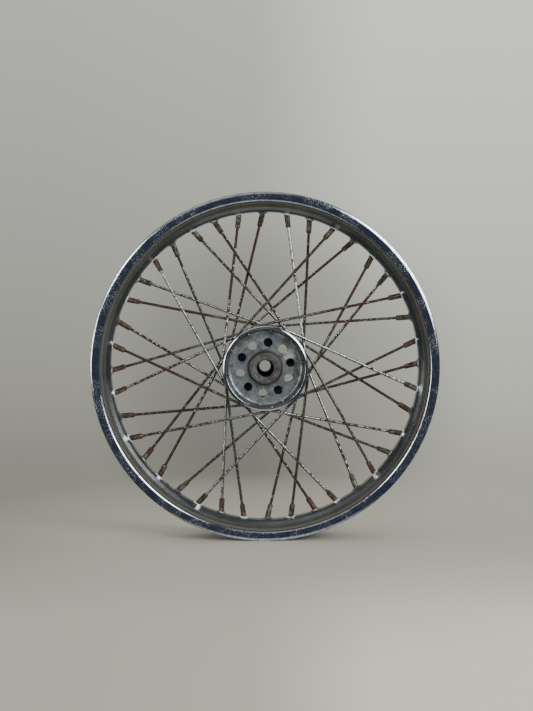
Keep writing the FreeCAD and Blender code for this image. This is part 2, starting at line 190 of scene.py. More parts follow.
def spun(points, steps, sectors=24):
    """Closed outline of (r, y) points turned once about the wheel's axis, sector by sector."""
    bm = bmesh.new()
    verts = [bm.verts.new((r, y, 0)) for r, y in points]
    edges = [bm.edges.new((verts[i - 1], verts[i])) for i in range(len(verts))]
    bmesh.ops.spin(bm, geom=verts + edges, cent=(0, 0, 0), axis=(0, 1, 0), angle=math.tau / sectors,
                   steps=steps // sectors)
    sector = list(bm.verts) + list(bm.edges) + list(bm.faces)
    for number in range(1, sectors):
        copy = bmesh.ops.duplicate(bm, geom=sector)["geom"]
        turn = Matrix.Rotation(math.tau * number / sectors, 3, "Y")
        turned = [item for item in copy if isinstance(item, bmesh.types.BMVert)]
        bmesh.ops.rotate(bm, verts=turned, matrix=turn)
    bmesh.ops.remove_doubles(bm, verts=bm.verts, dist=0.001 * MM)
    bmesh.ops.recalc_face_normals(bm, faces=bm.faces)
    return bm


def made(bm, name, sharp=35.0):
    """Object from a bmesh, smooth but for edges sharper than the angle."""
    mesh = bpy.data.meshes.new(name)
    bm.to_mesh(mesh)
    bm.free()
    mesh.shade_smooth()
    mesh.set_sharp_from_angle(angle=math.radians(sharp))
    piece = bpy.data.objects.new(name, mesh)
    bpy.context.scene.collection.objects.link(piece)
    return piece


def rod(bm, start, end, radius, steps=24):
    """Closed cylinder between two points."""
    along = end - start
    place = Matrix.Translation((start + end) / 2) @ along.to_track_quat("Z", "Y").to_matrix().to_4x4()
    bmesh.ops.create_cone(bm, cap_ends=True, segments=steps, radius1=radius, radius2=radius,
                          depth=along.length, matrix=place)


def carved(piece, tool, sharp=35.0):
    """Cuts the tool's shape out of the piece and removes the tool."""
    cut = piece.modifiers.new("cut", "BOOLEAN")
    cut.operation = "DIFFERENCE"
    cut.solver = "MANIFOLD"
    cut.object = tool
    depsgraph = bpy.context.evaluated_depsgraph_get()
    mesh = bpy.data.meshes.new_from_object(piece.evaluated_get(depsgraph))
    piece.modifiers.clear()
    old = piece.data
    piece.data = mesh
    bpy.data.meshes.remove(old)
    bpy.data.objects.remove(tool)
    mesh.shade_smooth()
    mesh.set_sharp_from_angle(angle=math.radians(sharp))
    return piece


def fit(piece, body, slot, look, *nodes):
    """Gives a piece its look and its place in the assembly."""
    piece.data.materials.clear()
    piece.data.materials.append(look)
    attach(piece, body)
    if nodes:
        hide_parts(*nodes)
    return piece


# --- shader helpers ------------------------------------------------------------------------------

class Look:
    """A node material under construction."""

    def __init__(self, name, roughness=0.5, metallic=0.0):
        self.material = bpy.data.materials.new(name)
        self.material.use_nodes = True
        self.nodes = self.material.node_tree.nodes
        self.links = self.material.node_tree.links
        self.shader = self.nodes["Principled BSDF"]
        self.shader.inputs["Roughness"].default_value = roughness
        self.shader.inputs["Metallic"].default_value = metallic
        self.place = self.nodes.new("ShaderNodeTexCoord").outputs["Object"]

    def link(self, value, socket):
        if isinstance(value, bpy.types.NodeSocket):
            self.links.new(value, socket)
        else:
            socket.default_value = value

    def noise(self, scale, detail=3.0, roughness=0.55, stretch=None, distortion=0.0):
        node = self.nodes.new("ShaderNodeTexNoise")
        node.inputs["Scale"].default_value = scale
        node.inputs["Detail"].default_value = detail
        node.inputs["Roughness"].default_value = roughness
        node.inputs["Distortion"].default_value = distortion
        self.link(self.scaled(stretch) if stretch else self.place, node.inputs["Vector"])
        return node.outputs["Fac"]

    def scaled(self, stretch):
        node = self.nodes.new("ShaderNodeMapping")
        node.inputs["Scale"].default_value = stretch
        self.link(self.place, node.inputs["Vector"])
        return node.outputs["Vector"]

    def specks(self, scale, reach):
        """1 inside scattered spots, 0 between them."""
        node = self.nodes.new("ShaderNodeTexVoronoi")
        node.inputs["Scale"].default_value = scale
        self.link(self.place, node.inputs["Vector"])
        return self.ramp(node.outputs["Distance"], reach, reach * 0.55)

    def ramp(self, value, start, end):
        """0 at start and 1 at end, straight between them and level outside."""
        node = self.nodes.new("ShaderNodeMapRange")
        node.inputs["From Min"].default_value = start
        node.inputs["From Max"].default_value = end
        self.link(value, node.inputs["Value"])
        return node.outputs["Result"]

    def math(self, operation, first, second=0.0):
        node = self.nodes.new("ShaderNodeMath")
        node.operation = operation
        self.link(first, node.inputs[0])
        self.link(second, node.inputs[1])
        return node.outputs[0]

    def mix(self, share, first, second):
        """Colour between two colours."""
        node = self.nodes.new("ShaderNodeMix")
        node.data_type = "RGBA"
        self.link(share, node.inputs["Factor"])
        self.link(first, node.inputs["A"])
        self.link(second, node.inputs["B"])
        return node.outputs["Result"]

    def between(self, share, low, high):
        """Number between two numbers."""
        node = self.nodes.new("ShaderNodeMix")
        self.link(share, node.inputs["Factor"])
        self.link(low, node.inputs["A"])
        self.link(high, node.inputs["B"])
        return node.outputs["Result"]

    def split(self):
        node = self.nodes.new("ShaderNodeSeparateXYZ")
        self.link(self.place, node.inputs[0])
        return node.outputs

    def distance(self, point):
        """Distance from a point fixed on the object."""
        node = self.nodes.new("ShaderNodeVectorMath")
        node.operation = "DISTANCE"
        self.links.new(self.place, node.inputs[0])
        node.inputs[1].default_value = point
        return node.outputs["Value"]

    def radius(self):
        """Distance from the wheel's axis."""
        x, y, z = self.split()
        return self.math("SQRT", self.math("ADD", self.math("MULTIPLY", x, x), self.math("MULTIPLY", z, z)))

    def depth(self):
        """Distance from the wheel's middle plane."""
        return self.math("ABSOLUTE", self.split()[1])

    def set(self, **sockets):
        for name, value in sockets.items():
            self.link(value, self.shader.inputs[name.replace("_", " ")])

    def bump(self, height, distance, strength=1.0):
        node = self.nodes.new("ShaderNodeBump")
        node.inputs["Strength"].default_value = strength
        node.inputs["Distance"].default_value = distance
        self.link(height, node.inputs["Height"])
        self.link(node.outputs["Normal"], self.shader.inputs["Normal"])


def rgb(red, green, blue):
    return (red, green, blue, 1.0)


# --- looks ---------------------------------------------------------------------------------------

def rim_look():
    """Chromed flanges with fine pitting, dull grey plating inside the well, rust where it is thin; painted
    highlights on the dimples' shoulders and along the bead seat's underside; painted shade in the crease
    below the flange.
    """
    look = Look("rim_chrome_and_plating")
    radius = look.radius()
    flange = look.ramp(radius, 266.3 * MM, 266.7 * MM)
    cloud = look.ramp(look.noise(22, 4), 0.35, 0.68)
    fine = look.ramp(look.noise(420, 3), 0.42, 0.62)
    haze = look.ramp(look.noise(150, 5, 0.72), 0.42, 0.62)
    pits = look.math("MULTIPLY", look.ramp(look.noise(430, 4, 0.75), 0.52, 0.62),
                     look.ramp(look.noise(40, 4, 0.65), 0.44, 0.62))
    slope = look.ramp(radius, 258.6 * MM, 259.8 * MM)
    dimple = look.math("SUBTRACT", 1.0, look.ramp(radius, 251.2 * MM, 251.8 * MM))
    # Painted shade: a dark line in the crease where the bead seat turns into the flange.
    from_crease = look.math("ABSOLUTE", look.math("SUBTRACT", radius, 266.0 * MM))
    painted_crease_shade = look.math("SUBTRACT", 1.0, look.ramp(from_crease, 0.3 * MM, 0.7 * MM))
    floor = look.mix(cloud, rgb(0.14, 0.155, 0.16), rgb(0.22, 0.24, 0.245))
    side = look.mix(cloud, rgb(0.066, 0.066, 0.060), rgb(0.11, 0.11, 0.098))
    well = look.mix(slope, floor, side)
    # Painted highlight: a lighter strip on the bead seat's underside stands in for the light it reflects.
    painted_seat_highlight = look.math("MULTIPLY", look.ramp(radius, 263.8 * MM, 264.4 * MM), 0.7)
    well = look.mix(painted_seat_highlight, well, rgb(0.26, 0.26, 0.235))
    grit = look.math("MULTIPLY", fine, look.between(slope, 0.12, 0.35))
    well = look.mix(grit, well, rgb(0.06, 0.06, 0.055))
    well = look.mix(look.math("MULTIPLY", painted_crease_shade, 0.8), well, rgb(0.03, 0.028, 0.025))
    well = look.mix(dimple, well, rgb(0.42, 0.46, 0.49))
    # Painted highlight: the dimples' shoulders are painted near-white and made less metallic, standing in
    # for the glints on them.
    painted_dimple_highlight = look.math("MULTIPLY", look.ramp(look.depth(), 2.5 * MM, 4.5 * MM),
                         look.math("SUBTRACT", 1.0, look.ramp(radius, 251.0 * MM, 251.5 * MM)))
    well = look.mix(painted_dimple_highlight, well, rgb(0.84, 0.88, 0.92))
    chrome = look.mix(haze, rgb(0.76, 0.80, 0.87), rgb(0.42, 0.49, 0.60))
    chrome = look.mix(look.math("MULTIPLY", pits, 0.8), chrome, rgb(0.25, 0.30, 0.38))
    rust = look.math("MULTIPLY", look.specks(85, 0.15), look.ramp(look.noise(14, 3), 0.58, 0.66))
    colour = look.mix(flange, well, chrome)
    colour = look.mix(rust, colour, rgb(0.16, 0.075, 0.04))
    shine = look.between(pits, look.between(haze, 0.05, 0.14), 0.46)
    dull = look.between(slope, look.between(cloud, 0.19, 0.27), look.between(fine, 0.48, 0.62))
    dull = look.between(dimple, dull, 0.16)
    plated = look.between(flange, look.between(slope, look.between(painted_dimple_highlight, 0.85, 0.25), 0.30),
                          look.between(pits, 1.0, 0.5))
    look.set(Base_Color=colour, Metallic=look.between(rust, plated, 0.2))
    look.set(Roughness=look.between(rust, look.between(flange, dull, shine), 0.8))
    rough = look.math("MULTIPLY", fine, look.between(flange, look.between(slope, 0.08, 1.0), 0.06))
    rough = look.math("ADD", rough, look.math("MULTIPLY", pits, look.math("MULTIPLY", flange, 0.25)))
    look.bump(look.math("ADD", rough, look.math("MULTIPLY", rust, 0.8)), 0.14 * MM, 0.6)
    return look.material


def hub_look():
    """Weathered plating on the hub: polished lips, stained plates, grease around the boss, a painted
    highlight on the front plate, painted shade between the two plates, and a darker bell wall.
    """
    look = Look("hub_weathered_plating")
    radius = look.radius()
    depth = look.depth()
    lip = look.math("MULTIPLY", look.ramp(depth, 43.6 * MM, 44.0 * MM), look.ramp(radius, 55 * MM, 58 * MM))
    outside = look.math("SUBTRACT", 1.0, look.ramp(depth, 26.5 * MM, 27.5 * MM))
    polish = look.math("MAXIMUM", lip, outside)
    bell = look.math("MULTIPLY", look.ramp(depth, 28.6 * MM, 31.0 * MM), look.ramp(radius, 50 * MM, 52 * MM))
    cloud = look.ramp(look.noise(85, 4, 0.62), 0.36, 0.64)
    fine = look.ramp(look.noise(520, 3, 0.6), 0.40, 0.64)
    stain = look.ramp(look.noise(50, 5, 0.65, distortion=0.8), 0.54, 0.62)
    plate = look.mix(cloud, rgb(0.16, 0.19, 0.215), rgb(0.55, 0.60, 0.64))
    plate = look.mix(look.math("MULTIPLY", fine, 0.5), plate, rgb(0.12, 0.13, 0.14))
    plate = look.mix(look.math("MULTIPLY", stain, 0.75), plate, rgb(0.075, 0.072, 0.062))
    # The bell's wall is painted a darker brown-grey, mottled by the cloud noise.
    bell_wall_darkening = look.math("MULTIPLY", bell, look.between(cloud, 0.65, 0.92))
    plate = look.mix(bell_wall_darkening, plate, rgb(0.10, 0.093, 0.064))
    # Painted highlight: a near-white patch on the front plate's upper right stands in for a window's
    # reflection.
    from_painted_highlight = look.distance((39 * MM, -28 * MM, 21 * MM))
    spot = look.math("SUBTRACT", 1.0, look.ramp(from_painted_highlight, 5 * MM, 12 * MM))
    clean_wire_and_painted_highlight = look.math("MULTIPLY", spot, look.ramp(look.noise(130, 4, 0.6), 0.40, 0.50))
    plate = look.mix(clean_wire_and_painted_highlight, plate, rgb(0.86, 0.88, 0.90))
    boss = look.math("SUBTRACT", 1.0, look.ramp(radius, 27.0 * MM, 30.5 * MM))
    grease = look.math("MULTIPLY", boss, look.math("SUBTRACT", 1.0, outside))
    plate = look.mix(grease, plate, rgb(0.075, 0.058, 0.042))
    face = look.math("MULTIPLY", look.ramp(depth, 37.2 * MM, 37.8 * MM), boss)
    bare = look.mix(cloud, rgb(0.12, 0.115, 0.12), rgb(0.24, 0.225, 0.235))
    plate = look.mix(face, plate, bare)
    colour = look.mix(polish, plate, rgb(0.66, 0.70, 0.75))
    # Painted shade: everything between the two plates' inner faces, barrel and bore included, is painted
    # dark blue-grey.
    between = look.math("SUBTRACT", 1.0, look.ramp(depth, 24.2 * MM, 24.8 * MM))
    colour = look.mix(between, colour, rgb(0.16, 0.18, 0.21))
    dull = look.between(stain, look.between(cloud, 0.46, 0.27), 0.62)
    look.set(Base_Color=colour, Metallic=look.between(polish, look.between(stain, 0.62, 0.35), 1.0))
    look.set(Roughness=look.between(polish, dull, 0.09))
    look.bump(look.math("MULTIPLY", fine, look.between(polish, 1.0, 0.08)), 0.12 * MM, 0.55)
    return look.material


def wire_look(name, rust_share, grey):
    """Rusted plated wire: brown scale with small bright flecks, cleaner near the hub."""
    look = Look(name)
    clean_wire_and_painted_highlight = look.math("SUBTRACT", 1.0, look.ramp(look.radius(), 72 * MM, 150 * MM))
    patch = look.math("ADD", look.noise(170, 4, 0.72), look.math("MULTIPLY", clean_wire_and_painted_highlight, -0.17))
    rust = look.ramp(patch, 0.56 - rust_share, 0.61 - rust_share)
    shade = look.ramp(look.noise(380, 3, 0.6), 0.35, 0.65)
    brown = look.mix(shade, rgb(0.024, 0.015, 0.012), rgb(0.082, 0.041, 0.027))
    silver = look.mix(shade, grey, rgb(0.64, 0.63, 0.60))
    look.set(Base_Color=look.mix(rust, silver, brown), Metallic=look.between(rust, 1.0, 0.1))
    look.set(Roughness=look.between(rust, 0.26, 0.74))
    look.bump(look.math("ADD", look.math("MULTIPLY", rust, 0.7), shade), 0.08 * MM, 0.6)
    return look.material


def nipple_look():
    """Tarnished plated steel with brown rust towards the open end."""
    look = Look("nipple_tarnish")
    outer = look.ramp(look.radius(), 229 * MM, 248 * MM)
    patch = look.math("ADD", look.noise(95, 4, 0.65), look.math("MULTIPLY", outer, -0.05))
    rust = look.ramp(patch, 0.36, 0.48)
    shade = look.ramp(look.noise(420, 3, 0.6), 0.36, 0.64)
    hue = look.ramp(look.noise(11, 2), 0.47, 0.53)
    scale = look.mix(hue, rgb(0.080, 0.056, 0.034), rgb(0.135, 0.060, 0.040))
    brown = look.mix(shade, rgb(0.030, 0.020, 0.014), scale)
    olive = look.mix(shade, rgb(0.10, 0.098, 0.08), rgb(0.26, 0.25, 0.22))
    look.set(Base_Color=look.mix(rust, olive, brown), Metallic=look.between(rust, 0.55, 0.15))
    look.set(Roughness=look.between(rust, 0.38, 0.70))
    look.bump(look.math("ADD", rust, shade), 0.10 * MM, 0.6)
    return look.material


def steel_look(name, dark, light, roughness, metallic):
    """Machined or pressed steel with turning marks and a thin film of old grease."""
    look = Look(name, metallic=metallic)
    cloud = look.ramp(look.noise(120, 4, 0.6), 0.35, 0.65)
    marks = look.noise(260, 3, 0.6, stretch=(1.0, 6.0, 1.0))
    look.set(Base_Color=look.mix(cloud, dark, light))
    look.set(Roughness=look.between(cloud, roughness, roughness + 0.16))
    look.bump(marks, 0.04 * MM, 0.35)
    return look.material


def rubber_look():
    """Black nitrile rubber with dust and a greasy sheen in places."""
    look = Look("seal_rubber")
    dust = look.ramp(look.noise(160, 4, 0.6), 0.50, 0.70)
    look.set(Base_Color=look.mix(dust, rgb(0.012, 0.012, 0.013), rgb(0.050, 0.046, 0.042)))
    look.set(Roughness=look.between(dust, 0.45, 0.75))
    look.bump(look.noise(700, 3), 0.05 * MM, 0.4)
    return look.material


# --- rim -----------------------------------------------------------------------------------------

def spoke_line(row, index):
    """Elbow corner, nipple seat and direction of one spoke."""
    side, elbow_r, hub_e, first, turn, rim_e = ROWS[row]
    angle = first + ROW_PITCH * index
    corner = polar(elbow_r, angle, side * hub_e)
    seat = polar(SEAT_R, angle + turn, side * rim_e)
    return corner, seat, (seat - corner).normalized()


def every_spoke():
    return [(row, index) for row in ROWS for index in range(ROW_COUNT)]


def flange_curve(radius, start, end, steps=8):
    """Corners along the flange's round section, angles counted from the axial direction."""
    angles = [math.radians(start + (end - start) * i / steps) for i in range(steps + 1)]
    return [(FLANGE_MID_R + radius * math.sin(a), FLANGE_MID_Y + radius * math.cos(a), 0) for a in angles]


def rim_outline():
    """Closed section of the rim: hub side, round flanges and tyre side."""
    seat = BEAD_R - SHEET
    well = WELL_R - SHEET
    edge_y = BEAD_OUT + 0.2 * MM
    hub_side = [(well, WELL_HALF, 8 * MM),
                (well + 8.0 * MM, WELL_TOP, 2.5 * MM),
                (seat - 0.9 * MM, BEAD_IN, 2.5 * MM),
                (seat, BEAD_OUT - 0.4 * MM, 0.4 * MM),
                (seat + 1.5 * MM, FLANGE_EDGE + 0.1 * MM, 1.9 * MM)]
    edge = [(LIP_R + 0.1 * MM, FLANGE_EDGE + 0.2 * MM, 3.2 * MM),
            (LIP_R, edge_y, 0.9 * MM),
            (LIP_R - 1.9 * MM, edge_y, 0.9 * MM),
            (LIP_R - 1.9 * MM, FLANGE_EDGE - 1.8 * MM, 0.6 * MM)]
    tyre_side = [(BEAD_R + 0.8 * MM, FLANGE_EDGE - 1.9 * MM, 0.6 * MM),
                 (BEAD_R, BEAD_OUT - 0.8 * MM, 0.8 * MM),
                 (BEAD_R - 0.9 * MM, BEAD_IN - 0.8 * MM, 2.5 * MM),
                 (WELL_R + 8.0 * MM, WELL_TOP - 0.8 * MM, 2.5 * MM),
                 (WELL_R, WELL_HALF - 0.8 * MM, 6 * MM)]
    half = hub_side + flange_curve(FLANGE_R, -19, 19) + edge
    half += flange_curve(FLANGE_R - SHEET, 18, -18, 4) + tyre_side
    return half + [(r, -y, radius) for r, y, radius in reversed(half)]


def punch_dimples(bm):
    """Pushes the well's sheet towards the hub around every nipple."""
    near = {}
    for row, index in every_spoke():
        seat, leg = spoke_line(row, index)[1:]
        middle = round(math.degrees(math.atan2(seat.z, seat.x)))
        for angle in range(middle - 3, middle + 4):
            near[angle % 360] = (seat, leg)
    for vert in bm.verts:
        slot = round(math.degrees(math.atan2(vert.co.z, vert.co.x))) % 360
        if abs(vert.co.y) > WELL_TOP or slot not in near:
            continue
        seat, leg = near[slot]
        away = (vert.co - seat).cross(leg).length
        share = min(max((DIMPLE_R - away) / (DIMPLE_R - DIMPLE_FLAT), 0.0), 1.0)
        vert.co -= leg * DIMPLE_RISE * share * share * (3 - 2 * share)


def make_rim():
    corners = rounded(rim_outline(), 4, 4.5 * MM)
    outline = finer(corners, WELL_STEP, WELL_R + 2 * MM, WELL_TOP)
    bm = spun(outline, RIM_STEPS)
    punch_dimples(bm)
    rim = made(bm, "rim_shell", 50)
    tool = bmesh.new()
    start, end = VALVE_DRILL
    rod(tool, polar(start, VALVE_ANGLE), polar(end, VALVE_ANGLE), VALVE_R, 32)
    return carved(rim, made(tool, "valve_drill"), 50)


# --- spokes and nipples --------------------------------------------------------------------------

def bell_inner_r(row):
    return ROWS[row][1] - ELBOW_GAP - BELL_WALL


def make_spoke(row, index, rng):
    """Button head, shank, elbow and a long leg with the slight bow of a used spoke."""
    side, _, hub_e, first = ROWS[row][:4]
    angle = first + ROW_PITCH * index
    corner, seat, leg = spoke_line(row, index)
    outward = polar(1.0, angle)
    bend = outward.angle(leg)
    reach = ELBOW_R * math.tan(bend / 2)
    inward = (leg - outward).normalized()
    centre = corner + inward * ELBOW_R / math.cos(bend / 2)
    axis = outward.cross(leg).normalized()
    start = corner - outward * reach
    head_face = polar(bell_inner_r(row) - 0.05 * MM, angle, side * hub_e)
    rim_size = HEAD_R / WIRE_R
    head = ((HEAD_T, 0.55), (0.93 * HEAD_T, 1.15), (0.7 * HEAD_T, 1.5), (0.35 * HEAD_T, 1.7),
            (0.1 * MM, rim_size), (0.0, rim_size - 0.1), (-0.01 * MM, 1.0))
    stations = [(head_face - outward * inwards, outward, size) for inwards, size in head]
    stations.append((start, outward, 1.0))
    for step in range(1, ELBOW_STEPS + 1):
        turn_by = Matrix.Rotation(bend * step / ELBOW_STEPS, 3, axis)
        stations.append((centre + turn_by @ (start - centre), turn_by @ outward, 1.0))
    leg_start = corner + leg * reach
    leg_end = seat + leg * (NIPPLE_HEAD_T - 0.6 * MM)
    bow = (axis * rng.uniform(-1, 1) + leg.cross(axis) * rng.uniform(-1, 1)) * SPOKE_BOW
    for step in range(1, LEG_STEPS + 1):
        share = step / LEG_STEPS
        stations.append((leg_start.lerp(leg_end, share) + bow * math.sin(math.pi * share), leg, 1.0))
    bm = bmesh.new()
    ring = bmesh.ops.create_circle(bm, cap_ends=True, segments=SPOKE_SIDES, radius=WIRE_R)["verts"]
    place_ring(ring, *stations[0])
    edges = list({edge for vert in ring for edge in vert.link_edges})
    for station in stations[1:]:
        made_edges = bmesh.ops.extrude_edge_only(bm, edges=edges)["geom"]
        ring = [item for item in made_edges if isinstance(item, bmesh.types.BMVert)]
        edges = [item for item in made_edges if isinstance(item, bmesh.types.BMEdge)]
        edges = [edge for edge in edges if edge.verts[0] in ring and edge.verts[1] in ring]
        move_ring(ring, *station)
    bmesh.ops.contextual_create(bm, geom=edges)
    bmesh.ops.recalc_face_normals(bm, faces=bm.faces)
    return made(bm, "headed_spoke_%s_%02d" % (row, index + 1), 50)


def place_ring(ring, point, along, size):
    """Turns a flat circle at the origin to face along and moves it to the point."""
    turn = along.to_track_quat("Z", "Y").to_matrix()
    for vert in ring:
        vert.co = point + turn @ (vert.co * size)


def move_ring(ring, point, along, size):
    """Resizes and turns a ring of vertices in place, then moves it to the point."""
    middle = sum((vert.co for vert in ring), Vector()) / len(ring)
    spread = [vert.co - middle for vert in ring]
    plane = spread[0].cross(spread[len(ring) // 4])
    if plane.dot(along) < 0:
        plane = -plane
    turn = plane.rotation_difference(along).to_matrix()
    for vert, arm in zip(ring, spread):
        vert.co = point + (turn @ arm).normalized() * WIRE_R * size


def add_nipple(bm, row, index, rng):
    """Headed nipple with a round upper neck and four spanner flats, bored for its spoke."""
    seat, leg = spoke_line(row, index)[1:]
    part = bmesh.new()
    flat_top = NIPPLE_LENGTH - NIPPLE_FLATS_LENGTH
    levels = [(-NIPPLE_LENGTH, NIPPLE_NECK - 1.3 * MM),
              (-NIPPLE_LENGTH + 0.5 * MM, NIPPLE_NECK - 0.6 * MM),
              (-NIPPLE_LENGTH + 1.4 * MM, NIPPLE_NECK),
              (-flat_top, NIPPLE_NECK), (-flat_top + 0.4 * MM, NIPPLE_NECK), (-0.8 * MM, NIPPLE_NECK),
              (0.0, NIPPLE_HEAD - 0.5 * MM), (0.4 * MM, NIPPLE_HEAD), (1.8 * MM, NIPPLE_HEAD),
              (NIPPLE_HEAD_T, NIPPLE_HEAD - 0.8 * MM), (NIPPLE_HEAD_T, NIPPLE_BORE),
              (-NIPPLE_LENGTH + 0.3 * MM, NIPPLE_BORE)]
    verts = [part.verts.new((r, 0, z)) for z, r in levels]
    edges = [part.edges.new((verts[i - 1], verts[i])) for i in range(len(verts))]
    bmesh.ops.spin(part, geom=verts + edges, cent=(0, 0, 0), axis=(0, 0, 1), angle=math.tau, steps=32,
                   use_merge=True)
    half = NIPPLE_FLATS / 2
    for vert in part.verts:
        if vert.co.z < -flat_top + 0.05 * MM and vert.co.xy.length > NIPPLE_BORE + 0.3 * MM:
            vert.co.x = min(max(vert.co.x, -half), half)
            vert.co.y = min(max(vert.co.y, -half), half)
    bmesh.ops.recalc_face_normals(part, faces=part.faces)
    place = Matrix.Translation(seat) @ leg.to_track_quat("Z", "Y").to_matrix().to_4x4()
    roll = Matrix.Rotation(rng.uniform(0, math.tau), 4, "Z")
    bmesh.ops.transform(part, matrix=place @ roll, verts=part.verts)
    joined = bpy.data.meshes.new("nipple_part")
    part.to_mesh(joined)
    part.free()
    bm.from_mesh(joined)
    bpy.data.meshes.remove(joined)


# --- hub -----------------------------------------------------------------------------------------

def hub_half(side, face):
    """Corners of the hub's section from the mid plane, over one bell and boss, into the bore."""
    label = "front" if side == FRONT else "back"
    outer_row = ROWS[label + "_outer"]
    inner_row = ROWS[label + "_inner"]
    r_out = outer_row[1] - ELBOW_GAP
    r_in = inner_row[1] - ELBOW_GAP
    e_out = outer_row[2]
    e_in = inner_row[2]
    slope = (r_out - r_in) / (e_out - e_in)

    def wall(e):
        return r_in + slope * (e - e_in)

    plate_back = PLATE - PLATE_T
    root = BELL_DEPTH - 4.8 * MM
    lip_r = wall(BELL_DEPTH - 3.0 * MM)
    seat = face - (SEAL_GAP + SEAL_W + CUP_SINK)
    outside = [(BARREL_R, plate_back, 4 * MM),
               (wall(plate_back) - 1.5 * MM, plate_back, 5 * MM),
               (wall(root), root, 0.5 * MM)]
    lip = [(lip_r + 0.3 * MM, BELL_DEPTH - 3.3 * MM, 0.9 * MM),
           (lip_r - 0.2 * MM, BELL_DEPTH - 1.9 * MM, 1.2 * MM),
           (lip_r - 2.4 * MM, BELL_DEPTH - 0.5 * MM, 7 * MM),
           (lip_r - 5.2 * MM, BELL_DEPTH, 1.0 * MM),
           (lip_r - 5.2 * MM, BELL_DEPTH - 1.9 * MM, 0.9 * MM)]
    bell = [(wall(root) - BELL_WALL, root, 1.5 * MM),
            (wall(PLATE) - BELL_WALL, PLATE, 5 * MM)]
    boss = [(BOSS_SIDE_R, PLATE, 2.6 * MM),
            (BOSS_SIDE_R, face - 0.4 * MM, 0.6 * MM),
            (BOSS_R, face, 0.3 * MM),
            (SEAL_R, face, 0.2 * MM),
            (SEAL_R, seat, 0.2 * MM)]
    bore = [(CUP_R, seat, 0.1 * MM),
            (CUP_R, seat - CUP_W, 0.2 * MM),
            (HUB_BORE_R, seat - CUP_W, 0.4 * MM)]
    return outside + lip + bell + boss + bore


def make_hub():
    front = hub_half(FRONT, BOSS_FRONT)
    back = hub_half(BACK, BOSS_BACK)
    corners = [(r, -e, radius) for r, e, radius in reversed(front)] + back
    hub = made(spun(rounded(corners, 6), HUB_STEPS), "hub_shell")
    tool = bmesh.new()
    for index in range(BOLTS):
        angle = BOLT_ANGLE + 360 / BOLTS * index
        drill(tool, angle, -1, BOLT_R)
        if index % 2:
            drill(tool, angle, 1, WINDOW_R)
    for row, index in every_spoke():
        side, elbow_r, hub_e, first = ROWS[row][:4]
        angle = first + ROW_PITCH * index
        rod(tool, polar(bell_inner_r(row) - 3 * MM, angle, side * hub_e),
            polar(elbow_r, angle, side * hub_e), HUB_HOLE_R, 20)
    return carved(hub, made(tool, "hub_drills"))


def drill(tool, angle, side, radius):
    """Hole through one flange plate with a small chamfer at each face."""
    bevel = 0.7 * MM
    past = 3 * MM
    wide = radius + bevel
    plate_back = PLATE - PLATE_T
    levels = [(plate_back - past, wide + 0.001 * MM), (plate_back, wide), (plate_back + bevel, radius),
              (PLATE - bevel, radius), (PLATE, wide), (PLATE + past, wide + 0.001 * MM)]
    ends = [(levels[0][0], 0.0)] + levels + [(levels[-1][0], 0.0)]
    part = bmesh.new()
    verts = [part.verts.new((r, side * e, 0)) for e, r in ends]
    edges = [part.edges.new((verts[i], verts[i + 1])) for i in range(len(verts) - 1)]
    bmesh.ops.spin(part, geom=verts + edges, cent=(0, 0, 0), axis=(0, 1, 0), angle=math.tau, steps=48,
                   use_merge=True)
    bmesh.ops.remove_doubles(part, verts=part.verts, dist=0.001 * MM)
    bmesh.ops.recalc_face_normals(part, faces=part.faces)
    bmesh.ops.translate(part, verts=part.verts, vec=polar(BOLT_CIRCLE_R, angle))
    mesh = bpy.data.meshes.new("drill_part")
    part.to_mesh(mesh)
    part.free()
    tool.from_mesh(mesh)
    bpy.data.meshes.remove(mesh)


# --- seals and bearing rings ---------------------------------------------------------------------

def sided(corners, side):
    """Corners with their distance from the mid plane turned into a place along the axis."""
    return [(r, side * e, radius) for r, e, radius in corners]


def make_seal_case(side, front):
    """Pressed case: outer wall, stepped front, and a rolled edge round the window."""
    step = front - SEAL_STEP
    behind = step - SEAL_SHEET
    wall = SEAL_R - SEAL_SHEET
    corners = [(SEAL_R, front, 0.8 * MM),
               (SEAL_STEP_R + 0.3 * MM, front, 0.3 * MM),
               (SEAL_STEP_R - 0.1 * MM, step, 0.3 * MM),
               (SEAL_WINDOW_R, step, 0.5 * MM),
               (SEAL_WINDOW_R, behind, 0),
               (wall, behind, 0.3 * MM),
               (wall, front - SEAL_W, 0),
               (SEAL_R, front - SEAL_W, 0.2 * MM)]
    return spun(rounded(sided(corners, side), 4), SEAL_STEPS)


def make_seal_lip(side, front):
    """Rubber behind the case's front: bonded disc, waist and sealing edge under the spring."""
    behind = front - SEAL_STEP - SEAL_SHEET
    lip = SEAL_LIP_R
    corners = [(lip + 0.8 * MM, behind, 0),
               (SEAL_BOND_R, behind, 0),
               (SEAL_BOND_R, front - 2.5 * MM, 0.3 * MM),
               (16.6 * MM, front - 2.6 * MM, 0.4 * MM),
               (SEAL_WAIST_R, front - 2.9 * MM, 0.2 * MM),
               (SEAL_WAIST_R, front - 4.8 * MM, 0.3 * MM),
               (lip + 0.5 * MM, front - 4.6 * MM, 0.3 * MM),
               (lip, front - 3.6 * MM, 0.2 * MM),
               (lip + 0.6 * MM, front - 2.2 * MM, 0.4 * MM)]
    return spun(rounded(sided(corners, side), 4), SEAL_STEPS)


# --- stage ---------------------------------------------------------------------------------------

FLOOR_COLOUR = rgb(0.51, 0.495, 0.425)
FLOOR_SCUFFS = rgb(0.48, 0.46, 0.42)
EVEN_LIGHT = rgb(0.74, 0.73, 0.67)
LAMP_DISTANCE = 2.6
CAMERA_LENS = 49.14
CAMERA_PLACE = (-0.01677, -1.58877, 0.10351)
CAMERA_TILT = 86.936
CAMERA_TURN = -0.686

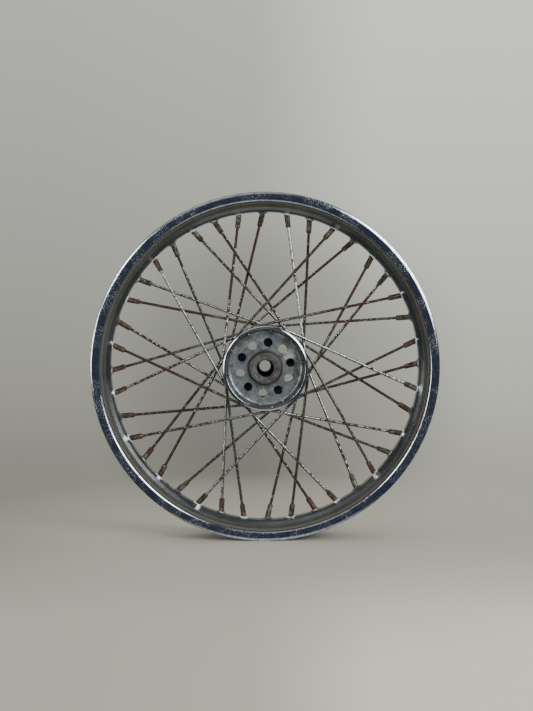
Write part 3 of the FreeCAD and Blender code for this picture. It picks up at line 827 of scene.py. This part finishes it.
# the backdrop's colours by height, and how they brighten from left to right
BACKDROP_UP = (
    (-1.0, rgb(0.63, 0.61, 0.50)), (-0.30, rgb(0.59, 0.57, 0.465)), (-0.24, rgb(0.33, 0.33, 0.272)),
    (-0.16, rgb(0.33, 0.333, 0.28)), (-0.08, rgb(0.42, 0.42, 0.363)), (0.05, rgb(0.50, 0.503, 0.45)),
    (0.30, rgb(0.66, 0.66, 0.60)), (1.0, rgb(0.70, 0.70, 0.64)),
)
BACKDROP_ACROSS = (
    (-1.0, rgb(0.78, 0.78, 0.78)), (-0.2, rgb(0.86, 0.86, 0.86)), (0.0, rgb(0.94, 0.94, 0.94)),
    (0.12, rgb(1.42, 1.42, 1.42)), (1.0, rgb(1.5, 1.5, 1.5)),
)
SHADE_MIDDLE = (0.03, 1.0, -0.085)

# what the chrome mirrors: a dim room from front to back and from floor to ceiling
ROOM_AHEAD = (
    (-1.0, rgb(0.034, 0.044, 0.060)), (-0.35, rgb(0.040, 0.053, 0.070)), (0.2, rgb(0.075, 0.082, 0.086)),
    (0.6, rgb(0.16, 0.16, 0.15)), (1.0, rgb(0.36, 0.355, 0.335)),
)
ROOM_UP = ((-1.0, rgb(0.85, 0.78, 0.70)), (0.0, rgb(1.0, 1.0, 1.0)), (1.0, rgb(1.25, 1.25, 1.25)))

# its bright patches: direction, core and edge in degrees, colour
WINDOWS = (
    ((0.60, -0.68, 0.42), 11, 22, rgb(7.0, 7.1, 7.2)),
    ((0.88, -0.17, 0.45), 8, 26, rgb(1.2, 1.2, 1.2)),
    ((-0.60, -0.71, 0.37), 5, 11, rgb(7.0, 7.1, 7.2)),
    ((-0.22, -0.55, 0.80), 10, 30, rgb(0.45, 0.45, 0.45)),
    ((0.05, -0.45, -0.89), 14, 34, rgb(0.50, 0.48, 0.45)),
    ((-0.80, -0.60, 0.05), 4, 14, rgb(5.0, 5.0, 5.0)),
)


def make_floor():
    """Plain pale floor that fades into the backdrop's colour all round."""
    bm = bmesh.new()
    bmesh.ops.create_circle(bm, cap_ends=True, segments=96, radius=2.0)
    bmesh.ops.translate(bm, verts=bm.verts, vec=(0, 0, FLOOR_Z))
    floor = made(bm, "floor")
    look = Look("floor_paint", roughness=0.9)
    x, y = look.split()[:2]
    away = look.math("SQRT", look.math("ADD", look.math("MULTIPLY", x, x), look.math("MULTIPLY", y, y)))
    scuffs = look.math("MULTIPLY", look.ramp(look.noise(9, 6, 0.7), 0.40, 0.75), 0.15)
    look.set(Base_Color=look.mix(scuffs, FLOOR_COLOUR, FLOOR_SCUFFS))
    clear = look.nodes.new("ShaderNodeBsdfTransparent")
    blend = look.nodes.new("ShaderNodeMixShader")
    look.link(look.ramp(away, 0.16, 0.60), blend.inputs["Fac"])
    look.link(look.shader.outputs[0], blend.inputs[1])
    look.link(clear.outputs[0], blend.inputs[2])
    look.link(blend.outputs[0], look.nodes["Material Output"].inputs["Surface"])
    floor.data.materials.append(look.material)
    floor.visible_glossy = False


def ramp_of(nodes, links, value, low, high, stops):
    """Colours along a direction component, from (value, colour) pairs."""
    reach = nodes.new("ShaderNodeMapRange")
    reach.inputs["From Min"].default_value = low
    reach.inputs["From Max"].default_value = high
    links.new(value, reach.inputs["Value"])
    ramp = nodes.new("ShaderNodeValToRGB")
    ends = ramp.color_ramp.elements
    for stop, (at, colour) in zip((ends[0], ends[1]), (stops[0], stops[-1])):
        stop.position = (at - low) / (high - low)
        stop.color = colour
    for at, colour in stops[1:-1]:
        ends.new((at - low) / (high - low)).color = colour
    links.new(reach.outputs["Result"], ramp.inputs["Fac"])
    return ramp.outputs["Color"]


def multiplied(nodes, links, first, second):
    node = nodes.new("ShaderNodeVectorMath")
    node.operation = "MULTIPLY"
    links.new(first, node.inputs[0])
    links.new(second, node.inputs[1])
    return node.outputs[0]


def window(nodes, links, direction, core, edge, colour):
    """Soft bright patch seen around one direction, from its core to its edge in degrees."""
    place = nodes.new("ShaderNodeTexCoord")
    dot = nodes.new("ShaderNodeVectorMath")
    dot.operation = "DOT_PRODUCT"
    dot.inputs[1].default_value = Vector(direction).normalized()
    links.new(place.outputs["Generated"], dot.inputs[0])
    reach = nodes.new("ShaderNodeMapRange")
    reach.interpolation_type = "SMOOTHSTEP"
    reach.inputs["From Min"].default_value = math.cos(math.radians(edge))
    reach.inputs["From Max"].default_value = math.cos(math.radians(core))
    links.new(dot.outputs["Value"], reach.inputs["Value"])
    patch = nodes.new("ShaderNodeBackground")
    patch.inputs["Color"].default_value = colour
    links.new(reach.outputs["Result"], patch.inputs["Strength"])
    return patch.outputs[0]


def make_world():
    """Soft pale backdrop for the eye, even light for dull surfaces, a dim room for the chrome."""
    world = bpy.data.worlds.new("studio")
    bpy.context.scene.world = world
    world.use_nodes = True
    nodes = world.node_tree.nodes
    links = world.node_tree.links
    place = nodes.new("ShaderNodeTexCoord")
    parts = nodes.new("ShaderNodeSeparateXYZ")
    links.new(place.outputs["Generated"], parts.inputs[0])
    across, ahead, up = parts.outputs
    height = ramp_of(nodes, links, up, -1.0, 1.0, BACKDROP_UP)
    sides = ramp_of(nodes, links, across, -1.0, 1.0, BACKDROP_ACROSS)
    backdrop = nodes["Background"]
    links.new(multiplied(nodes, links, height, sides), backdrop.inputs["Color"])
    middle = nodes.new("ShaderNodeVectorMath")
    middle.operation = "DOT_PRODUCT"
    middle.inputs[1].default_value = Vector(SHADE_MIDDLE).normalized()
    links.new(place.outputs["Generated"], middle.inputs[0])
    shade = nodes.new("ShaderNodeMapRange")
    shade.interpolation_type = "SMOOTHSTEP"
    shade.inputs["From Min"].default_value = math.cos(math.radians(12))
    shade.inputs["From Max"].default_value = math.cos(math.radians(3))
    shade.inputs["To Min"].default_value = 1.0
    shade.inputs["To Max"].default_value = 0.66
    links.new(middle.outputs["Value"], shade.inputs["Value"])
    links.new(shade.outputs["Result"], backdrop.inputs["Strength"])
    front_back = ramp_of(nodes, links, ahead, -1.0, 1.0, ROOM_AHEAD)
    above = ramp_of(nodes, links, up, -1.0, 1.0, ROOM_UP)
    room = nodes.new("ShaderNodeBackground")
    links.new(multiplied(nodes, links, front_back, above), room.inputs["Color"])
    glow = room.outputs[0]
    for direction, core, edge, colour in WINDOWS:
        patch = window(nodes, links, direction, core, edge, colour)
        both = nodes.new("ShaderNodeAddShader")
        links.new(glow, both.inputs[0])
        links.new(patch, both.inputs[1])
        glow = both.outputs[0]
    even = nodes.new("ShaderNodeBackground")
    even.inputs["Color"].default_value = EVEN_LIGHT
    path = nodes.new("ShaderNodeLightPath")
    shine = nodes.new("ShaderNodeMixShader")
    links.new(path.outputs["Is Glossy Ray"], shine.inputs["Fac"])
    links.new(even.outputs[0], shine.inputs[1])
    links.new(glow, shine.inputs[2])
    seen = nodes.new("ShaderNodeMixShader")
    links.new(path.outputs["Is Camera Ray"], seen.inputs["Fac"])
    links.new(shine.outputs[0], seen.inputs[1])
    links.new(backdrop.outputs[0], seen.inputs[2])
    links.new(seen.outputs[0], nodes["World Output"].inputs["Surface"])


def softbox(name, direction, size, power):
    """Area light that faces the wheel's middle."""
    light = bpy.data.lights.new(name, "AREA")
    light.shape = "RECTANGLE"
    light.size, light.size_y = size
    light.energy = power
    lamp = bpy.data.objects.new(name, light)
    lamp.visible_glossy = False
    bpy.context.scene.collection.objects.link(lamp)
    spot = Vector(direction).normalized() * LAMP_DISTANCE
    lamp.location = spot
    lamp.rotation_euler = spot.to_track_quat("Z", "Y").to_euler()


def make_camera():
    camera = bpy.data.objects.new("camera", bpy.data.cameras.new("camera"))
    camera.data.sensor_width = 36
    camera.data.lens = CAMERA_LENS
    camera.location = CAMERA_PLACE
    camera.rotation_euler = (math.radians(CAMERA_TILT), 0, math.radians(CAMERA_TURN))
    bpy.context.scene.collection.objects.link(camera)
    bpy.context.scene.camera = camera


# --- assembly ------------------------------------------------------------------------------------

rng = random.Random(7)
wires = [wire_look("spoke_rust_heavy", 0.20, rgb(0.14, 0.13, 0.12)),
         wire_look("spoke_rust_patchy", 0.11, rgb(0.13, 0.13, 0.125)),
         wire_look("spoke_rust_light", 0.03, rgb(0.12, 0.12, 0.12))]
nipple_metal = nipple_look()
fit(make_rim(), "wheel", "chromed_steel", rim_look(), "rim")
fit(make_hub(), "wheel", "hub_plating", hub_look(), "hub")
for row in ROWS:
    nipples = bmesh.new()
    for index in range(ROW_COUNT):
        wire = wires[rng.choice((0, 0, 1, 1, 2))]
        node = "spoke_%s_%02d" % (row, index + 1)
        fit(make_spoke(row, index, rng), "wheel", "spoke_steel", wire, node)
        add_nipple(nipples, row, index, rng)
    fit(made(nipples, "nipple_set_" + row, 30), "wheel", "nipple_steel", nipple_metal, "nipples_" + row)

ground = steel_look("bearing_steel", rgb(0.06, 0.055, 0.05), rgb(0.16, 0.155, 0.15), 0.25, 1.0)
pressed = steel_look("pressed_steel", rgb(0.10, 0.10, 0.112), rgb(0.29, 0.285, 0.31), 0.27, 0.6)
rubber = rubber_look()
for label, side, front in (("front", FRONT, SEAL_FRONT), ("back", BACK, SEAL_BACK)):
    fit(made(make_seal_case(side, front), label + "_seal_shell"), "wheel", "seal_steel", pressed,
        label + "_seal_case")
    fit(made(make_seal_lip(side, front), label + "_seal_rubber"), "wheel", "seal_rubber", rubber,
        label + "_seal_lip")
for node, look in (("front_bearing_outer_ring", ground), ("back_bearing_outer_ring", ground),
                   ("front_seal_spring", ground), ("back_seal_spring", ground),
                   ("back_bearing_inner_ring", ground), ("back_bearing_rollers", ground),
                   ("back_bearing_cage", pressed)):
    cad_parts[node].data.materials.clear()
    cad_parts[node].data.materials.append(look)

make_floor()
make_world()
softbox("window_right", (0.63, -0.64, 0.44), (1.1, 0.9), 28)
softbox("window_left", (-0.76, -0.05, 0.62), (0.7, 1.0), 9)
make_camera()
